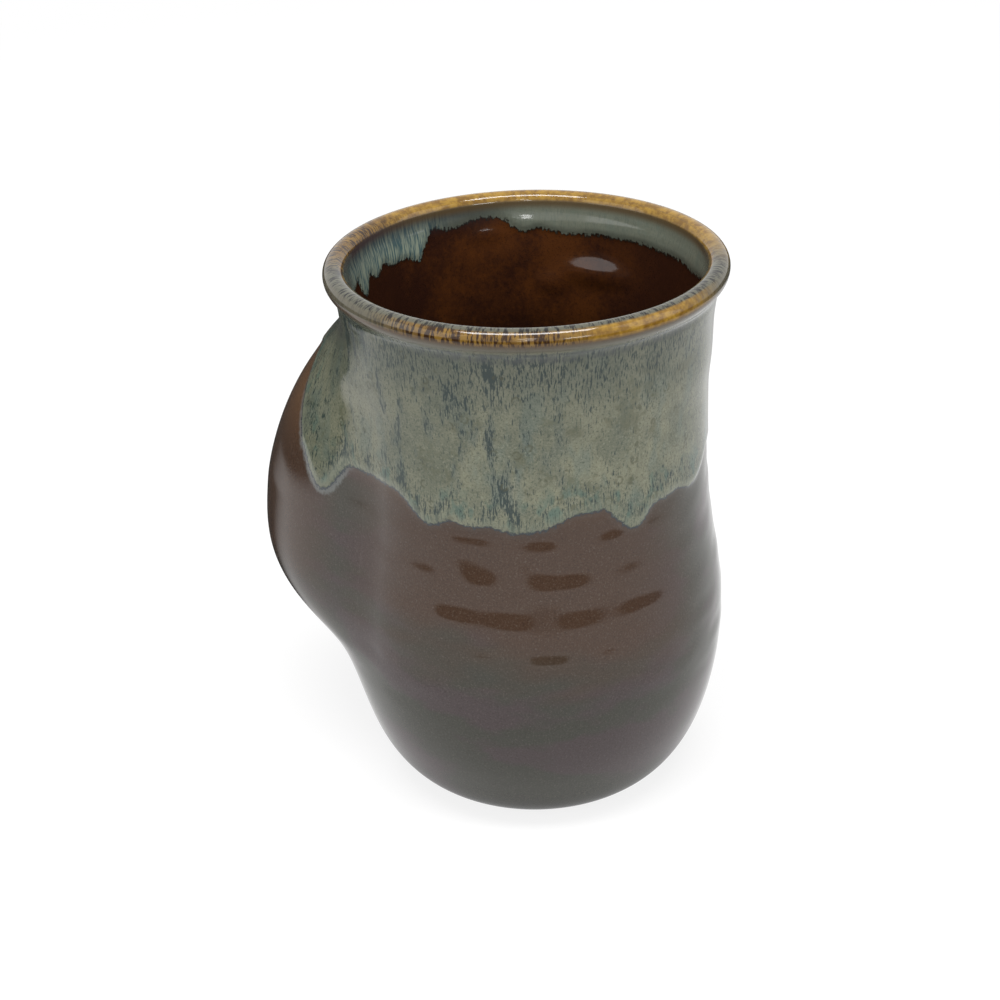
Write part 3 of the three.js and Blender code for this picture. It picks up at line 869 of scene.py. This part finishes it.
def green_glaze(graph, place, around, height, along, edge):
    """Grey-green and cloudy, with blue streaks, dark teal strokes, fine grain and ring-shaped craters."""
    cloud = sheet(graph, around, height, 0.1, 0.08)
    teal = sheet(graph, around, height, 0.17, 0.07)
    speck = graph.noise(place, 2.0, 3.0, 0.8)
    colour = graph.mix(graph.band(cloud, 0.38, 0.62), GREY_GREEN, PALE_GREEN)
    colour = graph.mix(graph.band(teal, 0.5, 0.66, 0.0, 0.5), colour, SEA_GREEN)
    colour = graph.mix(graph.band(speck, 0.52, 0.7, 0.0, 0.6), colour, GREEN_PALE_GRAIN)
    colour = graph.mix(graph.band(speck, 0.48, 0.3, 0.0, 0.95), colour, GREEN_DARK_GRAIN)
    olive = graph.band(graph.noise(place, 0.12, 4.0, 0.75), 0.54, 0.66, 0.0, 0.6)
    colour = graph.mix(olive, colour, OLIVE_GREEN)

    # Dark dashes gather under the rim, along the lower edge and in patches towards the pocket
    under_rim = between(graph, along, -30.0, -12.0, -8.0, -6.5)
    near_edge = between(graph, edge, 0.0, 1.0, 3.0, 11.0)
    patches = graph.band(sheet(graph, around, height, 0.25, 0.075, detail=2.0), 0.5, 0.72)
    patches = graph.times(patches, graph.plus(0.3, towards(graph, around, 262, 55, 25)))
    colour = graph.mix(graph.times(patches, 0.35), colour, BLUE_GREY)
    colour = graph.mix(graph.times(under_rim, 0.5), colour, MOSS_GREY)
    pools = graph.band(sheet(graph, around, height, 0.3, 0.2, detail=2.0), 0.5, 0.66)
    colour = graph.mix(graph.times(graph.times(near_edge, pools), 0.6), colour, TEAL)
    crowd = graph.plus(graph.times(under_rim, 0.12), graph.times(near_edge, 0.1))
    crowd = graph.plus(crowd, graph.times(patches, 0.16))
    dashes = graph.plus(sheet(graph, around, height, 3.0, 0.6, detail=2.0), crowd)
    colour = graph.mix(graph.band(dashes, 0.63, 0.72, 0.0, 0.9), colour, DARK_TEAL)

    craters = graph.add("ShaderNodeTexVoronoi", feature="F1")
    graph.set(craters.inputs["Vector"], place)
    craters.inputs["Scale"].default_value = 0.26
    ring = between(graph, craters.outputs["Distance"], 0.14, 0.2, 0.25, 0.31)
    some = graph.band(graph.noise(place, 0.1, 1.0), 0.46, 0.56)
    broken = graph.band(graph.noise(place, 0.9, 1.0), 0.38, 0.5)
    ring = graph.times(graph.times(ring, some), broken)
    colour = graph.mix(graph.times(ring, 0.6), colour, CRATER_OLIVE)
    shaded = graph.times(towards(graph, around, 236, 50, 20), 0.2)
    colour = graph.mix(shaded, colour, SHADED_GREEN)
    cream = between(graph, edge, 0.3, 0.8, 1.4, 3.0)
    colour = graph.mix(graph.times(cream, 0.35), colour, CREAM_GREEN)

    # Inside the cup it lies smooth, but for a comb of strokes on the pocket's side
    within = graph.band(along, 2.0, 4.0)
    colour = graph.mix(graph.times(within, 0.8), colour, INNER_GREEN)
    comb = sheet(graph, around, height, 2.0, 0.2)
    combed = graph.mix(graph.band(comb, 0.4, 0.6), COMB_PALE, COMB_BLUE)
    return graph.mix(graph.times(within, towards(graph, around, 178, 34, 22)), colour, combed)


def rim_colours(graph, place, around, along, colour):
    """The roll: gold at its edges, dark dashes on grey-green between them, a soft brown underside, and
    painted shade inside under it on the pocket's side.
    """
    dashes = sheet(graph, around, along, 1.7, 0.42)
    mottle = graph.noise(place, 0.5, 4.0, 0.65)
    front = towards(graph, around, 309, 60, 32)
    far = towards(graph, around, 100, 85, 52)
    left = towards(graph, around, 172, 52, 26)
    gold = graph.mix(graph.band(mottle, 0.35, 0.65), GOLD, DARK_GOLD)
    clear = graph.most(far, towards(graph, around, 342, 33, 20))
    flecked = graph.mix(graph.band(clear, 0.0, 1.0, 0.5, 0.0), gold, DULL_GOLD)
    marked = graph.times(graph.band(dashes, 0.45, 0.56), graph.minus(1.0, clear))
    flecked = graph.mix(marked, flecked, FLECK_BROWN)
    crest = graph.mix(graph.band(dashes, 0.46, 0.58), CREST_GREY, CREST_DARK)

    brown = between(graph, along, -7.6, -6.0, -4.4, -3.6)
    dusky = graph.mix(graph.band(along, -6.2, -4.2), UNDERSIDE_OLIVE, UNDERSIDE_BROWN)
    slate = graph.times(between(graph, along, -11.0, -9.4, -7.6, -6.8), towards(graph, around, 312, 60, 30))
    slate = graph.times(slate, graph.band(mottle, 0.4, 0.55, 0.2, 0.75))
    colour = graph.mix(slate, colour, SLATE_GREY)
    colour = graph.mix(graph.times(brown, 0.9), colour, dusky)
    colour = graph.mix(between(graph, along, -4.5, -3.6, 2.8, 3.4), colour, crest)
    plain = graph.times(between(graph, along, -4.6, -3.8, -2.4, -1.5), graph.minus(1.0, front))
    colour = graph.mix(graph.times(plain, 0.75), colour, PLAIN_OLIVE)
    outer_gold = graph.times(between(graph, along, -5.0, -4.0, -1.8, -1.1), front)
    colour = graph.mix(outer_gold, colour, flecked)
    left_gold = graph.times(between(graph, along, -2.8, -1.6, 1.0, 1.6), left)
    colour = graph.mix(left_gold, colour, flecked)
    colour = graph.mix(graph.times(between(graph, along, -3.6, -2.6, 1.0, 1.6), far), colour, gold)
    colour = graph.mix(between(graph, along, 0.9, 1.6, 2.8, 3.4), colour, flecked)
    # Painted shade: a dark blue tint inside the cup just under the roll, on the pocket's side
    painted_shade_inside = graph.times(between(graph, along, 2.8, 3.6, 4.2, 9.5), towards(graph, around, 178, 60, 32))
    colour = graph.mix(graph.times(painted_shade_inside, 0.7), colour, PAINTED_SHADE_BLUE)
    blend = between(graph, along, 2.5, 3.2, 3.5, 5.4)
    edging = graph.mix(far, EDGING_MAUVE, EDGING_GOLD)
    return graph.mix(graph.times(blend, 0.85), colour, edging)


def glaze_material():
    graph = Graph(bpy.data.materials.new("reactive_glaze"))
    place, around, height = unwrapped(graph)
    dip = graph.attribute("dip")
    along = graph.attribute("along")
    inside = graph.band(along, -0.5, 0.5)

    # Ragged edge of the dipped coat, in fine teeth inside the cup
    ragged = graph.minus(graph.noise(place, 0.8, 4.0, 0.75), 0.5)
    teeth = graph.minus(sheet(graph, around, height, 1.6, 0.25, detail=2.0), 0.5)
    edge = graph.plus(dip, graph.times(ragged, 2.8))
    edge = graph.plus(edge, graph.times(graph.times(teeth, inside), 2.0))
    dipped = graph.band(edge, -0.15, 0.15)

    brown, grain = brown_glaze(graph, place, around, height)
    amber = lining_glaze(graph, place, around, height)
    green = green_glaze(graph, place, around, height, along, edge)
    ground = graph.mix(inside, brown, amber)

    # Where the coat ends: rust above the pocket, a pale fringe round its run, a thin slate line
    rust = graph.times(graph.band(height, 78.0, 96.0), graph.band(along, -10.0, -12.0))
    ground = graph.mix(graph.times(rust, 0.7), ground, RUST)
    run = towards(graph, around, 218, 16, 9)
    fringe = between(graph, edge, -1.7, -0.6, -0.3, 0.2)
    pale = graph.plus(0.05, graph.times(run, 0.5))
    outside = graph.minus(1.0, inside)
    pale = graph.times(graph.times(fringe, pale), outside)
    ground = graph.mix(pale, ground, FRINGE_GREY)
    colour = graph.mix(dipped, ground, green)
    slate = graph.mix(inside, LINE_SLATE, LINE_BROWN)
    line = between(graph, edge, -0.35, -0.05, 0.12, 0.45)
    colour = graph.mix(graph.times(line, 0.85), colour, slate)
    colour = rim_colours(graph, place, around, along, colour)

    shader = graph.add("ShaderNodeBsdfPrincipled")
    graph.set(shader.inputs["Base Color"], colour)
    shader.inputs["IOR"].default_value = 1.42
    smoothness = graph.most(inside, dipped)
    graph.set(shader.inputs["Roughness"], graph.band(smoothness, 0.0, 1.0, 0.055, 0.05))
    graph.set(shader.inputs["Normal"], graph.bump(grain, 0.08, 0.0001))
    return graph.surface(shader.outputs[0])


def clay_material():
    graph = Graph(bpy.data.materials.new("bare_clay"))
    place = unwrapped(graph)[0]
    sand = graph.noise(place, 1.8, 4.0, 0.65)
    specks = graph.noise(place, 0.8, 2.0)
    colour = graph.mix(graph.band(sand, 0.3, 0.7), CLAY, PALE_CLAY)
    colour = graph.mix(graph.band(specks, 0.66, 0.72), colour, CLAY_SPECKS)
    shader = graph.add("ShaderNodeBsdfPrincipled")
    graph.set(shader.inputs["Base Color"], colour)
    shader.inputs["Roughness"].default_value = 0.85
    graph.set(shader.inputs["Normal"], graph.bump(sand, 0.4, 0.0003))
    return graph.surface(shader.outputs[0])


# Stage

def white_to_camera(graph):
    """1 for what the camera sees directly, in a reflection or through glass."""
    path = graph.add("ShaderNodeLightPath")
    seen = graph.most(path.outputs["Is Camera Ray"], path.outputs["Is Glossy Ray"])
    return graph.most(seen, path.outputs["Is Transmission Ray"])


def floor_material():
    """White to the camera and in reflections, with a soft shadow round the mug, and grey to other light."""
    graph = Graph(bpy.data.materials.new("white_floor"))
    away = graph.vector("LENGTH", graph.add("ShaderNodeTexCoord").outputs["Object"])
    near = graph.band(away, 0.8, 0.2)
    diffuse = graph.add("ShaderNodeBsdfDiffuse")
    graph.set(diffuse.inputs["Color"], FLOOR_GREY)
    pale = graph.add("ShaderNodeBsdfDiffuse")
    graph.set(pale.inputs["Color"], graph.mix(near, (0.0, 0.0, 0.0), FLOOR_SHADE))
    glow = graph.add("ShaderNodeEmission")
    graph.set(glow.inputs["Strength"], graph.band(near, 0.0, 1.0, 1.0, 0.82))
    lit = graph.add("ShaderNodeAddShader")
    graph.set(lit.inputs[0], pale.outputs[0])
    graph.set(lit.inputs[1], glow.outputs[0])
    seen = graph.mix_shader(white_to_camera(graph), diffuse.outputs[0], lit.outputs[0])
    from_below = graph.add("ShaderNodeNewGeometry").outputs["Backfacing"]
    clear = graph.add("ShaderNodeBsdfTransparent").outputs[0]
    return graph.surface(graph.mix_shader(from_below, seen, clear))


def add_floor():
    """A white floor, open under the foot and clear from below, so that the underside can be seen."""
    turns = np.linspace(0, 360, 97)
    reaches = np.array([FLOOR_HOLE, 200, 800, FLOOR_RADIUS])
    turn, reach = np.meshgrid(turns, reaches)
    points = polar(turn, reach, np.zeros_like(reach)).reshape(-1, 3)
    floor = make_mesh("floor", points, grid_faces(len(reaches), len(turns), flip=True), {})
    floor.data.materials.append(floor_material())


def add_table():
    """A dark table round the white sheet under the mug, behind the mug and beside its pocket, with a
    painted contact shadow round its foot.
    """
    turns = np.linspace(0, 360, 181)
    fade = SHEET_RADIUS + np.array(SHEET_FADE)
    edge = SHEET_RADIUS + np.array(SHEET_EDGE)
    reaches = np.array([*TABLE_NEAR_RINGS, *fade, *edge, 500, TABLE_RADIUS])
    turn, reach = np.meshgrid(turns, reaches)
    points = polar(turn - 90.0 + VIEW_AZIMUTH, reach, np.full_like(reach, TABLE_LIFT)).reshape(-1, 3)
    behind = 0.4 * smooth(*BEHIND_START, turn) + 0.6 * smooth(*BEHIND_FULL, turn)
    behind = behind * (1 - smooth(*BEHIND_END, turn)) * smooth(*BEHIND_REACH, reach)
    side = smooth(*SIDE_START, turn) * (1 - smooth(*SIDE_END, turn))
    side = side * smooth(*SIDE_REACH, reach) * (1 - smooth(*SIDE_REACH_END, reach))
    # Painted contact shadow round the foot, seen only in the glaze's reflections
    painted_contact_shadow = CONTACT_SHADOW_DARK * (1 - smooth(*CONTACT_SHADOW_REACH, reach))
    round_sheet = SHEET_FADE_DARK * smooth(fade[0], fade[-1], reach)
    round_sheet = np.maximum(round_sheet, smooth(*edge, reach))
    dark = np.max([behind, side, painted_contact_shadow, round_sheet], axis=0)
    table = make_mesh("dark_table", points, grid_faces(len(reaches), len(turns)), {"dark": dark.ravel()})
    graph = Graph(bpy.data.materials.new("dark_table"))
    diffuse = graph.add("ShaderNodeBsdfDiffuse")
    graph.set(diffuse.inputs["Color"], TABLE_DARK)
    clear = graph.add("ShaderNodeBsdfTransparent").outputs[0]
    mixed = graph.mix_shader(graph.attribute("dark"), clear, diffuse.outputs[0])
    table.data.materials.append(graph.surface(mixed))
    table.visible_camera = False
    table.visible_diffuse = False
    table.visible_shadow = False
    table.visible_transmission = False


def add_world():
    graph = Graph(bpy.data.worlds.new("studio"))
    strength = graph.add("ShaderNodeMapRange")
    graph.set(strength.inputs["Value"], white_to_camera(graph))
    graph.set(strength.inputs["To Min"], WORLD_LIGHT)
    graph.set(strength.inputs["To Max"], 1.0)
    background = graph.add("ShaderNodeBackground")
    graph.set(background.inputs["Color"], (1.0, 1.0, 1.0))
    graph.set(background.inputs["Strength"], strength.outputs[0])
    bpy.context.scene.world = graph.surface(background.outputs[0], "ShaderNodeOutputWorld")


def seen_from_view(right, away, up):
    """Metres from millimetres to the camera's right, away from it and up, counted from the foot."""
    return Matrix.Rotation(math.radians(VIEW_AZIMUTH), 3, "Z") @ Vector((right, away, up)) * MM


def add_camera():
    lift = math.radians(CAMERA_ELEVATION)
    back = CAMERA_DISTANCE * math.cos(lift)
    place = seen_from_view(0, -back, AIM_HEIGHT + CAMERA_DISTANCE * math.sin(lift))
    forward = (seen_from_view(AIM_SIDE, 0, AIM_HEIGHT) - place).normalized()
    level = forward.cross(Vector((0, 0, 1))).normalized()
    upright = level.cross(forward)
    roll = math.radians(CAMERA_ROLL)
    right = level * math.cos(roll) + upright * math.sin(roll)
    up = right.cross(forward)
    data = bpy.data.cameras.new("camera")
    data.lens = CAMERA_LENS
    data.sensor_width = SENSOR_WIDTH
    data.clip_start = 0.01
    data.clip_end = 50.0
    camera = bpy.data.objects.new("camera", data)
    turn = Matrix((right, up, -forward)).transposed().to_4x4()
    camera.matrix_world = Matrix.Translation(place) @ turn
    bpy.context.scene.collection.objects.link(camera)
    bpy.context.scene.camera = camera


def add_softbox(name, place, aim, width, height, power):
    data = bpy.data.lights.new(name, "AREA")
    data.shape = "RECTANGLE"
    data.size = width * MM
    data.size_y = height * MM
    data.energy = power
    lamp = bpy.data.objects.new(name, data)
    lamp.location = seen_from_view(*place)
    direction = seen_from_view(*aim) - lamp.location
    lamp.rotation_mode = "QUATERNION"
    lamp.rotation_quaternion = direction.to_track_quat("-Z", "Y")
    bpy.context.scene.collection.objects.link(lamp)
    return lamp


def add_lights():
    add_softbox("strip_light", (0, -250, 1100), (0, 0, 100), 850, 260, 13.0)
    add_softbox("left_softbox", (-850, -450, 500), (0, 0, 60), 800, 800, 2.6)
    add_softbox("right_softbox", (900, -250, 600), (0, 0, 60), 600, 800, 2.3)
    back = add_softbox("back_softbox", (-250, 1000, 800), (0, 0, 60), 700, 400, 2.4)
    back.visible_glossy = False
    add_softbox("window_right", (440, -900, 285), (0, 0, 118), 260, 90, 1.0)
    add_softbox("window_front", (-20, -950, 300), (0, 0, 118), 110, 50, 0.25)
    add_softbox("front_lamp", (0, -950, 600), (0, 0, 110), 160, 60, 0.5)


def build():
    bpy.context.scene.view_settings.view_transform = "Standard"
    add_camera()
    add_world()
    add_floor()
    add_lights()
    add_table()
    glaze = glaze_material()
    clay = clay_material()
    cup = thrown_cup()
    pocket = hand_pocket()
    foot = bare_foot()
    cup_nodes = ("cup_body", "rim_roll", "liner_glaze", "inner_dip_glaze", "dip_glaze")
    looks = (
        (cup, glaze, "brown_glaze", cup_nodes),
        (pocket, glaze, "brown_glaze", ("hand_pocket",)),
        (foot, clay, "bare_stoneware", ("foot",)),
    )
    for piece, material, slot, nodes in looks:
        piece.data.materials.append(material)
        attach(piece, "root")
        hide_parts(*nodes)


build()
